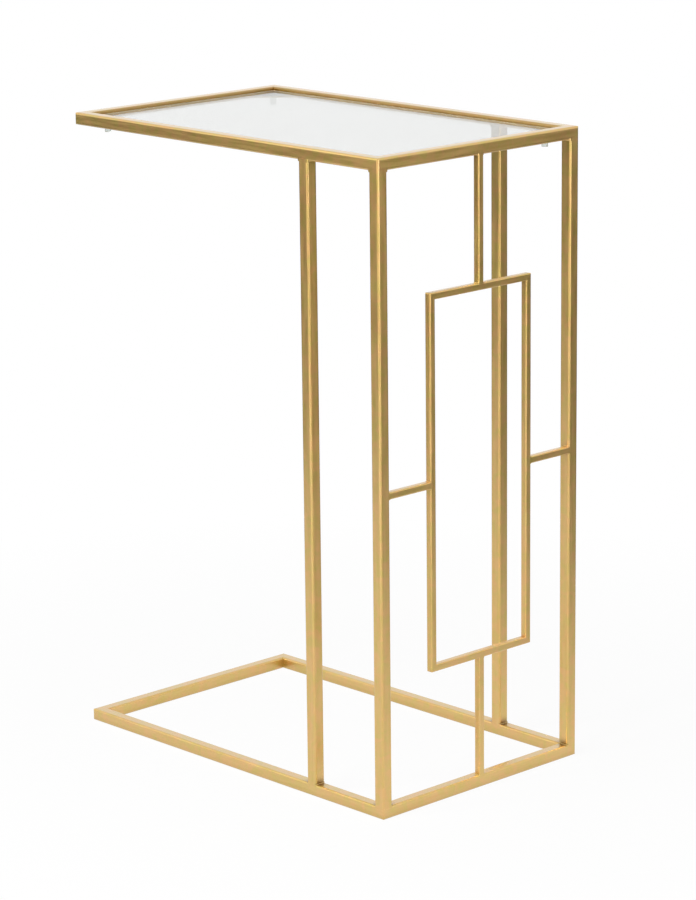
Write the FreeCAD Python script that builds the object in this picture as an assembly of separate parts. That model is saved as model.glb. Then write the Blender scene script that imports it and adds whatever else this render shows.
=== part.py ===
import FreeCAD, Part
import os

from FreeCAD import Placement, Rotation, Vector

# C-shaped side table, in millimetres.
# Welded gold-painted steel: a top frame and a base frame of square tube, four legs near one end,
# a decorative panel of thinner square bar in that end, and a milky glass pane let into the top.
# +X runs from the open, cantilevered end to the closed end with the panel, +Y from front to rear,
# +Z up. The origin is on the floor, under the middle of the table.

# Overall size
TABLE_LENGTH = 449.0
TABLE_WIDTH = 280.0
TABLE_HEIGHT = 660.0

# Square tube of the two frames and the legs
TUBE_WIDTH = 12.7
TUBE_WALL = 1.2
TUBE_CORNER_RADIUS = 2.2

# Legs of the welds at the legs' two ends
TOP_WELD_SIZE = 1.5
BASE_WELD_SIZE = 0.8

# Distance between the centre lines of a corner leg and the mid leg beside it
LEG_SPACING = 97.5

# Solid square bar of the end panel, and the rectangle that it makes
BAR_WIDTH = 7.2
BAR_CORNER_RADIUS = 1.3
BAR_WELD_SIZE = 0.6
PANEL_WIDTH = 142.5
PANEL_HEIGHT = 383.5
PANEL_CENTRE_HEIGHT = 329.0

# Corner gussets under the glass: triangles with blunt tips, a little above the rails' underside
GUSSET_SIDE = 37.0
GUSSET_TIP = 2.0
GUSSET_THICKNESS = 1.5
GUSSET_RISE = 1.2

# Clear suction cups: a rim under the glass, a neck in the gusset's hole and a plug below it
CUP_INSET = 11.4
CUP_HEIGHT = 2.5
CUP_RIM_DIAMETER = 17.0
CUP_RIM_THICKNESS = 0.7
CUP_COLLAR_DIAMETER = 8.0
CUP_NECK_DIAMETER = 5.0
CUP_NECK_CLEARANCE = 0.2
PLUG_DIAMETER = 6.5
PLUG_LENGTH = 8.9

# Glass pane, with a gap to the rails all round and seamed edges
GLASS_THICKNESS = 4.0
GLASS_GAP = 1.0
GLASS_CORNER_CLIP = 2.0
GLASS_EDGE_CHAMFER = 0.4

# How far past a piece its cutting shapes run
OVERRUN = 5.0

# Part of a rounded edge's radius that the weld metal of a piece flush with it fills
WELD_FILL_SHARE = 0.75
# Where a weld's hollow face is creased, between its root at 0 and a flat face at a half
WELD_FACE_SHARE = 0.33

TOP_UNDERSIDE = TABLE_HEIGHT - TUBE_WIDTH
GUSSET_UNDERSIDE = TOP_UNDERSIDE + GUSSET_RISE
GUSSET_TOP = GUSSET_UNDERSIDE + GUSSET_THICKNESS
GLASS_UNDERSIDE = GUSSET_TOP + CUP_HEIGHT
LEG_AXIS_Y = (TABLE_WIDTH - TUBE_WIDTH) / 2
CORNER_LEG_X = (TABLE_LENGTH - TUBE_WIDTH) / 2
PANEL_AXIS_X = (TABLE_LENGTH - BAR_WIDTH) / 2
INSIDE_LENGTH = TABLE_LENGTH - 2 * TUBE_WIDTH
INSIDE_WIDTH = TABLE_WIDTH - 2 * TUBE_WIDTH


def prism(points, direction):
    """Solid made by pushing the closed polygon through the points along the direction."""
    outline = Part.makePolygon(points + points[:1])
    return Part.Face(outline).extrude(direction)


def rounded_column(size_x, size_y, radius, low, high):
    """Column about the Z axis from low to high, with its four upright edges rounded."""
    column = Part.makeBox(size_x, size_y, high - low, Vector(-size_x / 2, -size_y / 2, low))
    upright_edges = [edge for edge in column.Edges if edge.BoundBox.ZLength > (high - low) / 2]
    return column.makeFillet(radius, upright_edges)


def mitred_side(run, reach, width, radius):
    """The front side of a run by reach rectangle of square bar, with mitred ends, solid inside."""
    out_x = run / 2 + OVERRUN
    out_y = reach / 2 + OVERRUN
    in_x = run / 2 - width - OVERRUN
    in_y = reach / 2 - width - OVERRUN
    plan = ((-out_x, -out_y), (out_x, -out_y), (in_x, -in_y), (-in_x, -in_y))
    bottom = -width / 2 - OVERRUN
    mitres = prism([Vector(x, y, bottom) for x, y in plan], Vector(0, 0, -2 * bottom))
    bar = placed(
        rounded_column(width, width, radius, -run / 2, run / 2),
        Placement(Vector(0, (width - reach) / 2, 0), Rotation(Vector(0, 1, 0), 90)))
    ground_corners = rounded_column(run, reach, radius, bottom, -bottom)
    return bar.common(mitres).common(ground_corners)


def mitred_rectangle(run, reach, width, radius):
    """The four solid sides of a rectangle of square bar, by the direction that each one faces."""
    long_side = mitred_side(run, reach, width, radius)
    short_side = mitred_side(reach, run, width, radius)
    return {
        "front": long_side,
        "rear": turned(long_side, 180),
        "right": turned(short_side, 90),
        "left": turned(short_side, -90),
    }


def turned(shape, angle):
    """Copy of the shape turned about the Z axis."""
    return placed(shape, Placement(Vector(0, 0, 0), Rotation(Vector(0, 0, 1), angle)))


def placed(shape, placement):
    """Copy of the shape moved by the placement."""
    return shape.transformed(placement.toMatrix(), True)


def joined(shapes):
    """One solid from shapes that touch."""
    return shapes[0].multiFuse(shapes[1:]).removeSplitter()


def weld_flare(width, radius, size, fill):
    """Weld metal beside the top end of a bar, on its +X side, from a root at the height 0."""
    face = width / 2
    inner = face - radius
    crease = size * WELD_FACE_SHARE
    profile = (
        (inner, -size),
        (face, -size),
        (face + crease, -crease),
        (face + size, 0),
        (face + size, fill),
        (inner, fill),
    )
    points = [Vector(x, -width / 2, height) for x, height in profile]
    rounded_ends = rounded_column(width + 2 * size, width, radius, -size, fill)
    return prism(points, Vector(0, width, 0)).common(rounded_ends)


def welded_bar(length, width, radius, weld_sizes, seat_radii, weld_sides):
    """
    Square bar on the Z axis between seats at the heights 0 and length, solid inside.
    Its ends run on over the seats' rounded edges, which are then cut from it, and weld metal
    flares out to the seats on the sides that the angles in weld_sides face.
    """
    start_size, end_size = weld_sizes
    start_fill, end_fill = [seat_radius * WELD_FILL_SHARE for seat_radius in seat_radii]
    shapes = [rounded_column(width, width, radius, -start_fill, length + end_fill)]
    at_end = weld_flare(width, radius, end_size, end_fill)
    at_end.translate(Vector(0, 0, length))
    at_start = weld_flare(width, radius, start_size, start_fill)
    at_start = at_start.mirror(Vector(0, 0, 0), Vector(0, 0, 1))
    for angle in weld_sides:
        shapes.append(turned(at_end, angle))
        shapes.append(turned(at_start, angle))
    return joined(shapes)


def frame_rails(height):
    """The four mitred rails of a tube frame whose underside is at the height, solid inside."""
    sides = mitred_rectangle(TABLE_LENGTH, TABLE_WIDTH, TUBE_WIDTH, TUBE_CORNER_RADIUS)
    lift = Placement(Vector(0, 0, height + TUBE_WIDTH / 2), Rotation())
    return {name: placed(side, lift) for name, side in sides.items()}


def tube_bore(length, placement):
    """The inside of a tube of the length, centred where the placement puts it, along its Z axis."""
    width = TUBE_WIDTH - 2 * TUBE_WALL
    bore = Part.makeBox(width, width, length, Vector(-width / 2, -width / 2, -length / 2))
    return placed(bore, placement)


def hollow_rails(rails, height):
    """The rails of a frame with their bores."""
    bore_height = height + TUBE_WIDTH / 2
    along_x = Rotation(Vector(0, 1, 0), 90)
    along_y = Rotation(Vector(1, 0, 0), 90)
    bores = {
        "front": tube_bore(TABLE_LENGTH, Placement(Vector(0, -LEG_AXIS_Y, bore_height), along_x)),
        "rear": tube_bore(TABLE_LENGTH, Placement(Vector(0, LEG_AXIS_Y, bore_height), along_x)),
        "left": tube_bore(TABLE_WIDTH, Placement(Vector(-CORNER_LEG_X, 0, bore_height), along_y)),
        "right": tube_bore(TABLE_WIDTH, Placement(Vector(CORNER_LEG_X, 0, bore_height), along_y)),
    }
    return {name: rail.cut(bores[name]) for name, rail in rails.items()}


def leg_outlines(frames):
    """The four legs between the two frames, with their welds, solid inside."""
    length = TOP_UNDERSIDE - TUBE_WIDTH
    seats = (TUBE_CORNER_RADIUS, TUBE_CORNER_RADIUS)
    welds = (BASE_WELD_SIZE, TOP_WELD_SIZE)
    mid_x = CORNER_LEG_X - LEG_SPACING
    places = {
        "front_mid_leg": (mid_x, -LEG_AXIS_Y, (0, 180)),
        "rear_mid_leg": (mid_x, LEG_AXIS_Y, (0, 180)),
        "front_corner_leg": (CORNER_LEG_X, -LEG_AXIS_Y, (90, 180)),
        "rear_corner_leg": (CORNER_LEG_X, LEG_AXIS_Y, (180, 270)),
    }
    legs = {}
    for name, (x, y, weld_sides) in places.items():
        leg = welded_bar(length, TUBE_WIDTH, TUBE_CORNER_RADIUS, welds, seats, weld_sides)
        leg.translate(Vector(x, y, TUBE_WIDTH))
        legs[name] = leg.cut(frames)
    return legs


def hollow_legs(legs):
    """The legs with their bores."""
    hollow = {}
    for name, leg in legs.items():
        is_mid = "mid" in name
        x = CORNER_LEG_X - LEG_SPACING if is_mid else CORNER_LEG_X
        y = -LEG_AXIS_Y if name.startswith("front") else LEG_AXIS_Y
        bore = tube_bore(TABLE_HEIGHT, Placement(Vector(x, y, TABLE_HEIGHT / 2), Rotation()))
        hollow[name] = leg.cut(bore)
    return hollow


def panel_rectangle():
    """The four mitred bars of the panel's rectangle, flush with the table's closed end."""
    sides = mitred_rectangle(PANEL_WIDTH, PANEL_HEIGHT, BAR_WIDTH, BAR_CORNER_RADIUS)
    upright = Placement(
        Vector(PANEL_AXIS_X, 0, PANEL_CENTRE_HEIGHT), Rotation(Vector(1, 1, 1), 120))
    names = {
        "panel_bottom_bar": "front",
        "panel_top_bar": "rear",
        "panel_rear_stile": "right",
        "panel_front_stile": "left",
    }
    return {name: placed(sides[side], upright) for name, side in names.items()}


def panel_links(frames, legs, rectangle):
    """The rods and stubs that hold the rectangle to the frames and the corner legs."""
    rectangle_top = PANEL_CENTRE_HEIGHT + PANEL_HEIGHT / 2
    rectangle_bottom = PANEL_CENTRE_HEIGHT - PANEL_HEIGHT / 2
    rod_seats = (BAR_CORNER_RADIUS, TUBE_CORNER_RADIUS)
    upper_rod = panel_link(TOP_UNDERSIDE - rectangle_top, rod_seats)
    upper_rod.translate(Vector(PANEL_AXIS_X, 0, rectangle_top))
    lower_rod = panel_link(rectangle_bottom - TUBE_WIDTH, rod_seats)
    lower_rod = lower_rod.mirror(Vector(0, 0, 0), Vector(0, 0, 1))
    lower_rod.translate(Vector(PANEL_AXIS_X, 0, rectangle_bottom))
    stub = panel_link((INSIDE_WIDTH - PANEL_WIDTH) / 2, rod_seats)
    outward = Placement(
        Vector(PANEL_AXIS_X, PANEL_WIDTH / 2, PANEL_CENTRE_HEIGHT), Rotation(Vector(1, 0, 0), -90))
    rear_stub = placed(stub, outward)
    front_stub = rear_stub.mirror(Vector(0, 0, 0), Vector(0, 1, 0))
    links = {
        "panel_upper_rod": upper_rod,
        "panel_lower_rod": lower_rod,
        "panel_rear_stub": rear_stub,
        "panel_front_stub": front_stub,
    }
    seats = frames + legs + rectangle
    return {name: link.cut(seats) for name, link in links.items()}


def panel_link(length, seat_radii):
    """A bar of the panel's stock from the rectangle at the height 0 to the tube at the length."""
    welds = (BAR_WELD_SIZE, BAR_WELD_SIZE)
    return welded_bar(length, BAR_WIDTH, BAR_CORNER_RADIUS, welds, seat_radii, (90, 270))


def gusset(top_frame):
    """The gusset of the front left corner, with its hole and its edges fitted to the rails."""
    corner_x = -INSIDE_LENGTH / 2
    corner_y = -INSIDE_WIDTH / 2
    lap = TUBE_CORNER_RADIUS
    outline = ((-lap, -lap), (GUSSET_SIDE, -lap), (GUSSET_SIDE, GUSSET_TIP),
               (GUSSET_TIP, GUSSET_SIDE), (-lap, GUSSET_SIDE))
    points = [Vector(corner_x + x, corner_y + y, GUSSET_UNDERSIDE) for x, y in outline]
    plate = prism(points, Vector(0, 0, GUSSET_THICKNESS))
    hole = Part.makeCylinder(
        CUP_NECK_DIAMETER / 2 + CUP_NECK_CLEARANCE, GUSSET_THICKNESS + 2 * OVERRUN,
        Vector(corner_x + CUP_INSET, corner_y + CUP_INSET, GUSSET_UNDERSIDE - OVERRUN))
    return plate.cut([hole, top_frame])


def suction_cup():
    """The clear cup of the front left corner: rim, neck and plug in one turned piece."""
    rim = CUP_RIM_DIAMETER / 2
    collar = CUP_COLLAR_DIAMETER / 2
    neck = CUP_NECK_DIAMETER / 2
    plug = PLUG_DIAMETER / 2
    plug_end = GUSSET_UNDERSIDE - PLUG_LENGTH
    profile = (
        (0, GLASS_UNDERSIDE),
        (rim, GLASS_UNDERSIDE),
        (rim, GLASS_UNDERSIDE - CUP_RIM_THICKNESS),
        (collar, GUSSET_TOP),
        (neck, GUSSET_TOP),
        (neck, GUSSET_UNDERSIDE),
        (plug, GUSSET_UNDERSIDE),
        (plug, plug_end),
        (0, plug_end),
    )
    points = [Vector(radius, 0, height) for radius, height in profile]
    section = Part.Face(Part.makePolygon(points + points[:1]))
    cup = section.revolve(Vector(0, 0, 0), Vector(0, 0, 1), 360)
    cup.translate(Vector(CUP_INSET - INSIDE_LENGTH / 2, CUP_INSET - INSIDE_WIDTH / 2, 0))
    return cup


def at_four_corners(front_left, ending):
    """Copies of the front left corner's piece, mirrored into the other corners."""
    along_x = Vector(1, 0, 0)
    along_y = Vector(0, 1, 0)
    centre = Vector(0, 0, 0)
    front_right = front_left.mirror(centre, along_x)
    return {
        "left_front_" + ending: front_left,
        "right_front_" + ending: front_right,
        "left_rear_" + ending: front_left.mirror(centre, along_y),
        "right_rear_" + ending: front_right.mirror(centre, along_y),
    }


def glass_pane():
    """The pane, with clipped corners and seamed edges, on top of the four cups."""
    length = INSIDE_LENGTH - 2 * GLASS_GAP
    width = INSIDE_WIDTH - 2 * GLASS_GAP
    pane = Part.makeBox(
        length, width, GLASS_THICKNESS, Vector(-length / 2, -width / 2, GLASS_UNDERSIDE))
    corner_edges = [edge for edge in pane.Edges if edge.BoundBox.ZLength > GLASS_THICKNESS / 2]
    pane = pane.makeChamfer(GLASS_CORNER_CLIP, corner_edges)
    face_edges = [edge for edge in pane.Edges if edge.BoundBox.ZLength < GLASS_THICKNESS / 2]
    return pane.makeChamfer(GLASS_EDGE_CHAMFER, face_edges)


def table_parts():
    """Every piece of the table, by the name of its node."""
    top = frame_rails(TOP_UNDERSIDE)
    base = frame_rails(0)
    frames = [joined(list(top.values())), joined(list(base.values()))]
    legs = leg_outlines(frames)
    rectangle = panel_rectangle()
    pieces = {}
    for side, rail in hollow_rails(top, TOP_UNDERSIDE).items():
        pieces["top_" + side + "_rail"] = rail
    for side, rail in hollow_rails(base, 0).items():
        pieces["base_" + side + "_rail"] = rail
    pieces.update(hollow_legs(legs))
    pieces.update(rectangle)
    pieces.update(panel_links(frames, list(legs.values()), [joined(list(rectangle.values()))]))
    for name, plate in at_four_corners(gusset(frames[0]), "gusset").items():
        pieces[name] = plate.cut(list(legs.values()))
    pieces.update(at_four_corners(suction_cup(), "cup"))
    pieces["glass_pane"] = glass_pane()
    return pieces


def main():
    os.makedirs("parts", exist_ok=True)
    for name, shape in table_parts().items():
        solids = shape.Solids
        if len(solids) != 1 or not solids[0].isValid():
            raise RuntimeError(name + " is not one valid solid")
        solids[0].exportStep("parts/" + name + ".step")
        print(name, round(solids[0].Volume / 1000, 2), "cm3")


main()
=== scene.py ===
import math

import bpy
from mathutils import Matrix, Vector

# Looks of the C-shaped side table: gold-painted steel, a milky glass pane and its clear cups.
# Metres, in the model's own frame: +X towards the closed end, +Y towards the rear, +Z up.

WHITE = (1.0, 1.0, 1.0, 1.0)

# Camera at the photograph's place: metres and degrees, with lens and sensor in millimetres
CAMERA_TARGET = Vector((0.06343, -0.02940, 0.32985))
CAMERA_DISTANCE = 3.47353
CAMERA_AZIMUTH = 46.42915
CAMERA_ELEVATION = 13.97300
CAMERA_ROLL = -0.65099
CAMERA_LENS = 136.3006
CAMERA_SENSOR = 36.0
CAMERA_NEAREST = 0.1
CAMERA_FARTHEST = 60.0

# Softboxes: name, centre, the point that each faces, width, height, spread in degrees, and
# brightness of its face. None stands at the left or rear, since the pane would mirror it
# towards the front and right; towards the rear left it does mirror one of these.
SOFTBOXES = (
    ("front_softbox", (0.05, -2.2, 1.55), (0.05, 0.0, 0.4), 1.8, 0.6, 150.0, 14.5),
    ("front_right_softbox", (1.0, -2.1, 1.0), (0.0, 0.0, 0.4), 1.0, 0.8, 150.0, 2.4),
    ("low_right_softbox", (2.3, 0.1, 0.45), (0.0, 0.0, 0.35), 1.6, 0.5, 150.0, 3.0),
    ("high_right_softbox", (2.3, 0.1, 1.55), (0.0, 0.0, 0.4), 1.6, 0.6, 150.0, 1.4),
    ("camera_side_softbox", (1.5, -1.4, 2.5), (1.5, -1.4, 0.0), 1.0, 1.0, 30.0, 1.7),
)
WORLD_AMBIENT = 0.12

# Floor: pale paper lies round the object and out to PAPER_END, up to these distances from the
# line between them; the studio floor beyond it is duller
FLOOR_RADIUS = 12.0
FLOOR_CORNERS = 96
PAPER_END = Vector((0.55, -0.95, 0.0))
PAPER_INNER_EDGE = 1.1
PAPER_OUTER_EDGE = 1.4
PAPER_DARK = (0.88, 0.88, 0.88, 1)
PAPER_LIGHT = (0.91, 0.91, 0.91, 1)
PAPER_SCALE = 30.0
STUDIO_GREY = (0.3, 0.3, 0.3, 1)
# Distances from the middle over which the floor is seen ever whiter, and the share of white
# near the middle: to the camera and through glass, and in metal
WHITE_START = 0.3
WHITE_END = 0.9
CAMERA_NEAR_WHITE = 0.94
GLOSS_NEAR_WHITE = 0.9

# Paint: colours, sizes of its noises, and the heights between which these count as contrast
PAINT_WARM = (0.70, 0.411, 0.141, 1)
PAINT_OLIVE = (0.595, 0.437, 0.107, 1)
PAINT_PALE = (0.73, 0.50, 0.205, 1)
# Painted shade: the colour that corners, the feet and the recess above the glass darken towards
PAINT_SHADE = (0.19, 0.09, 0.006, 1)
CLOUD_SCALE = 90.0
STREAK_SCALE = 380.0
GRAIN_SCALE = 1400.0
CONTRAST_LOW = 0.35
CONTRAST_HIGH = 0.65
# Streaks: width over length, largest share of the pale colour, and roughness between them
STREAK_STRETCH = 0.06
STREAK_SHARE = 0.32
ROUGHNESS_LOW = 0.33
ROUGHNESS_HIGH = 0.39
COAT_ROUGHNESS = 0.22
GRAIN_STRENGTH = 0.25
GRAIN_DEPTH = 0.0002

# Painted shade in corners, from how open each point is to the sky: how far apart surfaces darken
# each other, the openness at which it is full and gone, and its share away from the feet
SHADE_REACH = 0.010
SHADE_SAMPLES = 8
SHADE_FULL = 0.6
SHADE_GONE = 0.95
SHADE_AWAY_FROM_FEET = 0.2
# Heights between which the painted shade in corners is strongest, at the feet of the legs, and
# how far it stays away from the middle plane, where the panel's lower rod stands
FOOT_BOTTOM = 0.0112
FOOT_TOP = 0.0175
SHADE_FREE_HALF_WIDTH = 0.03
# Painted shade inside the top frame, above the glass: half the opening's length and width, the
# heights of the glass and of the frame's underside, how soft its edge is, and its share
RECESS_LENGTH = 0.2122
RECESS_WIDTH = 0.1277
GLASS_TOP = 0.6565
FRAME_UNDERSIDE = 0.6473
RECESS_FADE = 0.0012
RECESS_SHADE_SHARE = 0.6

# Glass: two tints of its faint clouds, the yellow of its cloudy rim, which is a painted
# reflection of the gold frame, the rim's width, how clear the middle and the rim are, and the
# largest roughness
GLASS_DARK = (0.80, 0.82, 0.81, 1)
GLASS_LIGHT = (0.83, 0.84, 0.83, 1)
GLASS_RIM_GOLD_REFLECTION = (1.0, 0.95, 0.68, 1)
GLASS_CLOUD_SCALE = 9.0
GLASS_SMEAR_SCALE = 60.0
RIM_WIDTH = 0.017
GLASS_CLEAR = 0.93
GLASS_RIM_CLEAR = 0.25
GLASS_ROUGHNESS = 0.02
GLASS_IOR = 1.5

# Plastic of the cups
PLASTIC_DARK = (0.7, 0.76, 0.72, 1)
PLASTIC_LIGHT = (0.82, 0.86, 0.83, 1)
PLASTIC_SCALE = 500.0
PLASTIC_SMOOTH = 0.12
PLASTIC_ROUGH = 0.22
PLASTIC_CLEAR = 0.8
PLASTIC_IOR = 1.45
# Noise heights between which glass and plastic go from smooth to rough
HAZE_LOW = 0.3
HAZE_HIGH = 0.7


def new_material(name):
    """Empty node material, its tree and its output node."""
    material = bpy.data.materials.new(name)
    material.use_nodes = True
    tree = material.node_tree
    tree.nodes.clear()
    return material, tree, tree.nodes.new("ShaderNodeOutputMaterial")


def set_socket(tree, socket, value):
    """Links the value to the socket, or sets it there where it is plain."""
    if isinstance(value, bpy.types.NodeSocket):
        tree.links.new(value, socket)
    else:
        socket.default_value = value


def add_node(tree, kind, settings=None, **inputs):
    """Node of the kind, with its own settings. Inputs go by name, or by number as in _0."""
    node = tree.nodes.new(kind)
    for key, value in (settings or {}).items():
        setattr(node, key, value)
    for key, value in inputs.items():
        place = int(key[1:]) if key[1:].isdigit() else key.replace("_", " ")
        set_socket(tree, node.inputs[place], value)
    return node


def object_place(tree):
    """Coordinates of the part itself, in metres."""
    return add_node(tree, "ShaderNodeTexCoord").outputs["Object"]


def noise(tree, coordinates, scale, detail=2.0, roughness=0.5, distortion=0.0):
    """Height of a noise over the coordinates, about 0.5 on average."""
    return add_node(
        tree, "ShaderNodeTexNoise", Vector=coordinates, Scale=scale, Detail=detail,
        Roughness=roughness, Distortion=distortion).outputs[0]


def ramp(tree, value, low, high, start=0.0, end=1.0):
    """Goes from start to end while the value goes from low to high."""
    return add_node(
        tree, "ShaderNodeMapRange", Value=value, From_Min=low, From_Max=high, To_Min=start,
        To_Max=end).outputs[0]


def between(tree, share, start, end):
    """Number between start and end, by the share of the end."""
    return ramp(tree, share, 0.0, 1.0, start, end)


def blend_colours(tree, share, first, second):
    """Mix of two colours, or of two colour sockets, by the share of the second."""
    return add_node(
        tree, "ShaderNodeMix", {"data_type": "RGBA"}, _0=share, _6=first, _7=second).outputs[2]


def calculate(tree, operation, *values):
    """Result of a mathematical operation on one or two values."""
    inputs = {"_%d" % place: value for place, value in enumerate(values)}
    return add_node(tree, "ShaderNodeMath", {"operation": operation}, **inputs).outputs[0]


def larger(tree, first, second):
    """The larger of two values."""
    return calculate(tree, "MAXIMUM", first, second)


def multiply(tree, first, second):
    """Product of two values."""
    return calculate(tree, "MULTIPLY", first, second)


def distances_and_height(tree, place):
    """How far the place is from the middle along X and along Y, and its height."""
    axes = add_node(tree, "ShaderNodeSeparateXYZ", Vector=place).outputs
    length = calculate(tree, "ABSOLUTE", axes["X"])
    width = calculate(tree, "ABSOLUTE", axes["Y"])
    return length, width, axes["Z"]


def gold_paint(axis):
    """Hand-rubbed satin gold paint on the tubes that run along the axis: warm and olive clouds,
    pale streaks along the tube, painted shade in corners and inside the top frame, and a light
    orange peel."""
    material, tree, output = new_material("gold_paint_" + "xyz"[axis])
    place = object_place(tree)
    stretch = [1.0, 1.0, 1.0]
    stretch[axis] = STREAK_STRETCH
    drawn_out = add_node(
        tree, "ShaderNodeVectorMath", {"operation": "MULTIPLY"}, _0=place, _1=stretch).outputs[0]
    clouds = ramp(
        tree, noise(tree, place, CLOUD_SCALE, 3.0, 0.55, 0.6), CONTRAST_LOW, CONTRAST_HIGH)
    streaks = ramp(tree, noise(tree, drawn_out, STREAK_SCALE), CONTRAST_LOW, CONTRAST_HIGH)
    grain = noise(tree, place, GRAIN_SCALE, 2.0, 0.6)
    hue = blend_colours(tree, clouds, PAINT_WARM, PAINT_OLIVE)
    rubbed = blend_colours(tree, between(tree, streaks, 0.0, STREAK_SHARE), hue, PAINT_PALE)
    # Painted shade: the paint darkens in corners, at the feet and inside the top frame
    rubbed_and_shaded = blend_colours(tree, painted_shade_share(tree, place), rubbed, PAINT_SHADE)
    relief = add_node(
        tree, "ShaderNodeBump", Strength=GRAIN_STRENGTH, Distance=GRAIN_DEPTH, Height=grain)
    paint = add_node(
        tree, "ShaderNodeBsdfPrincipled", Base_Color=rubbed_and_shaded, Metallic=1.0,
        Roughness=between(tree, streaks, ROUGHNESS_LOW, ROUGHNESS_HIGH), Coat_Weight=1.0,
        Coat_Roughness=COAT_ROUGHNESS, Normal=relief.outputs[0])
    tree.links.new(paint.outputs[0], output.inputs["Surface"])
    return material


def painted_shade_share(tree, place):
    """Share of painted shade: in the corners, from ambient occlusion, most of it at the feet,
    and inside the top frame above the glass.
    """
    length, width, height = distances_and_height(tree, place)
    past_length = ramp(tree, length, RECESS_LENGTH, RECESS_LENGTH + RECESS_FADE)
    past_width = ramp(tree, width, RECESS_WIDTH, RECESS_WIDTH + RECESS_FADE)
    # Painted shade on the inner faces of the top frame, above the glass
    recess_shade = between(tree, larger(tree, past_length, past_width), RECESS_SHADE_SHARE, 0.0)
    above_glass = ramp(tree, height, GLASS_TOP - RECESS_FADE, GLASS_TOP)
    below_frame = ramp(tree, height, FRAME_UNDERSIDE - RECESS_FADE, FRAME_UNDERSIDE, 1.0, 0.0)

    # Painted shade in corners: darker where nearby surfaces hide the sky
    open_sky = add_node(
        tree, "ShaderNodeAmbientOcclusion", {"samples": SHADE_SAMPLES},
        Distance=SHADE_REACH).outputs["AO"]
    corners = ramp(tree, open_sky, SHADE_FULL, SHADE_GONE, 1.0, 0.0)
    foot = multiply(
        tree, ramp(tree, height, FOOT_BOTTOM, FOOT_BOTTOM + RECESS_FADE),
        ramp(tree, height, FOOT_TOP, 2 * FOOT_TOP - FOOT_BOTTOM, 1.0, 0.0))
    foot = multiply(tree, foot, ramp(tree, width, SHADE_FREE_HALF_WIDTH, 2 * SHADE_FREE_HALF_WIDTH))
    corners = multiply(tree, corners, between(tree, foot, SHADE_AWAY_FROM_FEET, 1.0))
    corners = multiply(tree, corners, larger(tree, below_frame, above_glass))
    return larger(tree, corners, multiply(tree, recess_shade, above_glass))


def milky_glass():
    """Faintly milky clear glass, cloudier towards its edges, where a yellow painted reflection
    of the gold frame is mixed into its colour.
    """
    material, tree, output = new_material("milk_glass")
    place = object_place(tree)
    length, width, _ = distances_and_height(tree, place)
    rim = larger(
        tree, ramp(tree, length, RECESS_LENGTH - RIM_WIDTH, RECESS_LENGTH),
        ramp(tree, width, RECESS_WIDTH - RIM_WIDTH, RECESS_WIDTH))
    tint = blend_colours(tree, noise(tree, place, GLASS_CLOUD_SCALE), GLASS_DARK, GLASS_LIGHT)
    # Painted reflection of the gold frame: the rim's colour goes yellow towards the edges
    tint = blend_colours(tree, multiply(tree, rim, rim), tint, GLASS_RIM_GOLD_REFLECTION)
    smears = noise(tree, place, GLASS_SMEAR_SCALE)
    glass = add_node(
        tree, "ShaderNodeBsdfPrincipled", Base_Color=tint, IOR=GLASS_IOR,
        Roughness=ramp(tree, smears, HAZE_LOW, HAZE_HIGH, 0.0, GLASS_ROUGHNESS),
        Transmission_Weight=between(tree, rim, GLASS_CLEAR, GLASS_RIM_CLEAR))
    tree.links.new(glass.outputs[0], output.inputs["Surface"])
    return material


def clear_plastic():
    """Soft clear plastic of the suction cups, slightly grey-green."""
    material, tree, output = new_material("clear_plastic")
    haze = noise(tree, object_place(tree), PLASTIC_SCALE)
    plastic = add_node(
        tree, "ShaderNodeBsdfPrincipled", IOR=PLASTIC_IOR,
        Base_Color=blend_colours(tree, haze, PLASTIC_DARK, PLASTIC_LIGHT),
        Roughness=ramp(tree, haze, HAZE_LOW, HAZE_HIGH, PLASTIC_SMOOTH, PLASTIC_ROUGH),
        Transmission_Weight=PLASTIC_CLEAR)
    tree.links.new(plastic.outputs[0], output.inputs["Surface"])
    return material


def dress_nodes(nodes):
    """Gives each CAD node the material that its name calls for."""
    gold = [gold_paint(axis) for axis in range(3)]
    glass = milky_glass()
    plastic = clear_plastic()
    for name, piece in nodes.items():
        if name == "glass_pane":
            material = glass
        elif name.endswith("cup"):
            material = plastic
        else:
            material = gold[max(range(3), key=lambda axis: piece.dimensions[axis])]
        for slot in piece.material_slots:
            slot.material = material


def pale_world():
    """White behind the object, also in metal and glass, and a weak soft light on it."""
    world = bpy.data.worlds.new("studio")
    bpy.context.scene.world = world
    world.use_nodes = True
    tree = world.node_tree
    tree.nodes.clear()
    output = tree.nodes.new("ShaderNodeOutputWorld")
    path = add_node(tree, "ShaderNodeLightPath").outputs
    seen = larger(tree, path["Is Camera Ray"], path["Is Transmission Ray"])
    seen = larger(tree, seen, path["Is Glossy Ray"])
    sky = add_node(
        tree, "ShaderNodeBackground", Color=WHITE,
        Strength=between(tree, seen, WORLD_AMBIENT, 1.0))
    tree.links.new(sky.outputs[0], output.inputs["Surface"])


def distance_to_line(tree, place, end):
    """Distance of the place from the line between the middle and the end point."""
    along = add_node(
        tree, "ShaderNodeVectorMath", {"operation": "DOT_PRODUCT"}, _0=place,
        _1=end / end.length_squared).outputs["Value"]
    share = add_node(tree, "ShaderNodeClamp", Value=along).outputs[0]
    nearest = add_node(tree, "ShaderNodeVectorMath", {"operation": "SCALE"}, _0=end, Scale=share)
    return add_node(
        tree, "ShaderNodeVectorMath", {"operation": "DISTANCE"}, _0=place,
        _1=nearest.outputs[0]).outputs["Value"]


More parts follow.
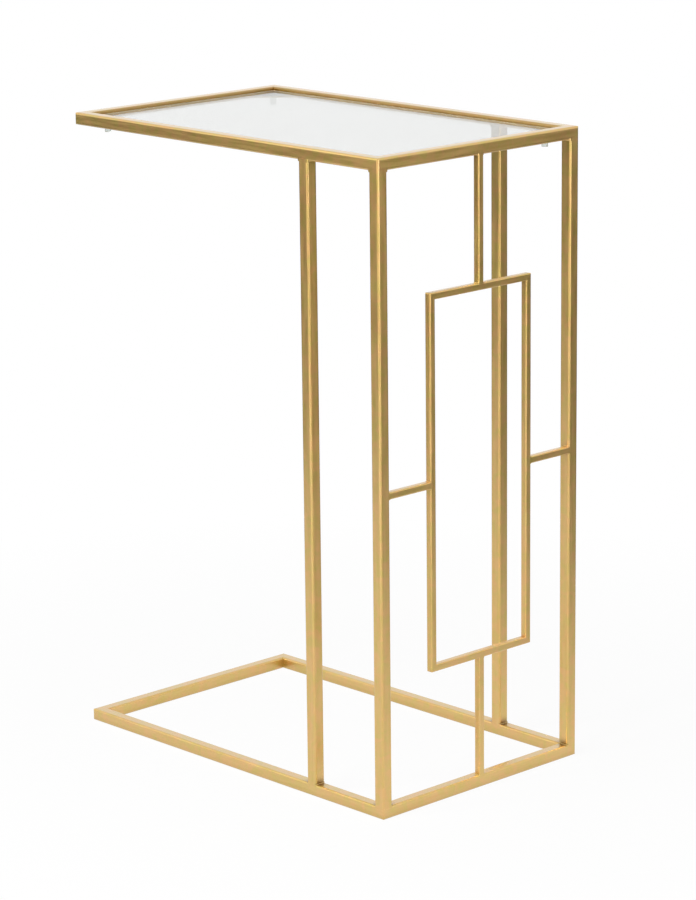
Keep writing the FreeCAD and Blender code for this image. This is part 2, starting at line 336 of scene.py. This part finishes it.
def pale_floor():
    """Pale paper floor that keeps the object's shadow, and is seen white farther away."""
    bpy.ops.mesh.primitive_circle_add(
        vertices=FLOOR_CORNERS, radius=FLOOR_RADIUS, fill_type="NGON")
    floor = bpy.context.object
    floor.name = "studio_floor"
    material, tree, output = new_material("floor_paper")
    place = object_place(tree)
    paper = blend_colours(tree, noise(tree, place, PAPER_SCALE, 3.0), PAPER_DARK, PAPER_LIGHT)
    beyond = ramp(
        tree, distance_to_line(tree, place, PAPER_END), PAPER_INNER_EDGE, PAPER_OUTER_EDGE)
    matt = add_node(
        tree, "ShaderNodeBsdfDiffuse", Color=blend_colours(tree, beyond, paper, STUDIO_GREY))
    path = add_node(tree, "ShaderNodeLightPath").outputs
    away = add_node(
        tree, "ShaderNodeVectorMath", {"operation": "LENGTH"}, _0=place).outputs["Value"]
    seen_share = multiply(
        tree, ramp(tree, away, WHITE_START, WHITE_END, CAMERA_NEAR_WHITE, 1.0),
        larger(tree, path["Is Camera Ray"], path["Is Transmission Ray"]))
    gloss_share = multiply(
        tree, ramp(tree, away, WHITE_START, WHITE_END, GLOSS_NEAR_WHITE, 0.0),
        path["Is Glossy Ray"])
    white = add_node(tree, "ShaderNodeEmission", Color=WHITE, Strength=1.0)
    both = add_node(
        tree, "ShaderNodeMixShader", _0=larger(tree, seen_share, gloss_share),
        _1=matt.outputs[0], _2=white.outputs[0])
    tree.links.new(both.outputs[0], output.inputs["Surface"])
    floor.data.materials.append(material)


def add_softbox(name, centre, target, width, height, spread, brightness):
    """Rectangular area light whose face is this bright, where white is 1."""
    data = bpy.data.lights.new(name, "AREA")
    data.shape = "RECTANGLE"
    data.size = width
    data.size_y = height
    data.spread = math.radians(spread)
    data.energy = brightness * math.pi * width * height
    light = bpy.data.objects.new(name, data)
    light.location = centre
    facing = Vector(target) - Vector(centre)
    light.rotation_euler = facing.to_track_quat("-Z", "Y").to_euler()
    bpy.context.scene.collection.objects.link(light)
    light.visible_camera = False


def photograph_camera():
    """Camera at the photograph's place."""
    data = bpy.data.cameras.new("camera")
    data.sensor_width = CAMERA_SENSOR
    data.lens = CAMERA_LENS
    data.clip_start = CAMERA_NEAREST
    data.clip_end = CAMERA_FARTHEST
    camera = bpy.data.objects.new("camera", data)
    azimuth = math.radians(CAMERA_AZIMUTH)
    elevation = math.radians(CAMERA_ELEVATION)
    back = Vector((
        math.sin(azimuth) * math.cos(elevation),
        -math.cos(azimuth) * math.cos(elevation),
        math.sin(elevation)))
    level_right = Vector((math.cos(azimuth), math.sin(azimuth), 0))
    right = Matrix.Rotation(math.radians(CAMERA_ROLL), 3, back) @ level_right
    up = back.cross(right)
    axes = Matrix((right, up, back)).transposed().to_4x4()
    axes.translation = CAMERA_TARGET + back * CAMERA_DISTANCE
    camera.matrix_world = axes
    bpy.context.scene.collection.objects.link(camera)
    bpy.context.scene.camera = camera


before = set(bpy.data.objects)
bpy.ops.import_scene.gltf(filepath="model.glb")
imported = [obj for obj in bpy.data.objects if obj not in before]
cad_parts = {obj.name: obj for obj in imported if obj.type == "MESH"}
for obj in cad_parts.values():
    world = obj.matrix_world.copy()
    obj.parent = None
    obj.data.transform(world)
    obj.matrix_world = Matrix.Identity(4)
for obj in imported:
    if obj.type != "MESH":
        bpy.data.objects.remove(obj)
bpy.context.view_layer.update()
bpy.context.scene.view_settings.view_transform = "Standard"
dress_nodes(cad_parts)
photograph_camera()
pale_world()
pale_floor()
for softbox in SOFTBOXES:
    add_softbox(*softbox)
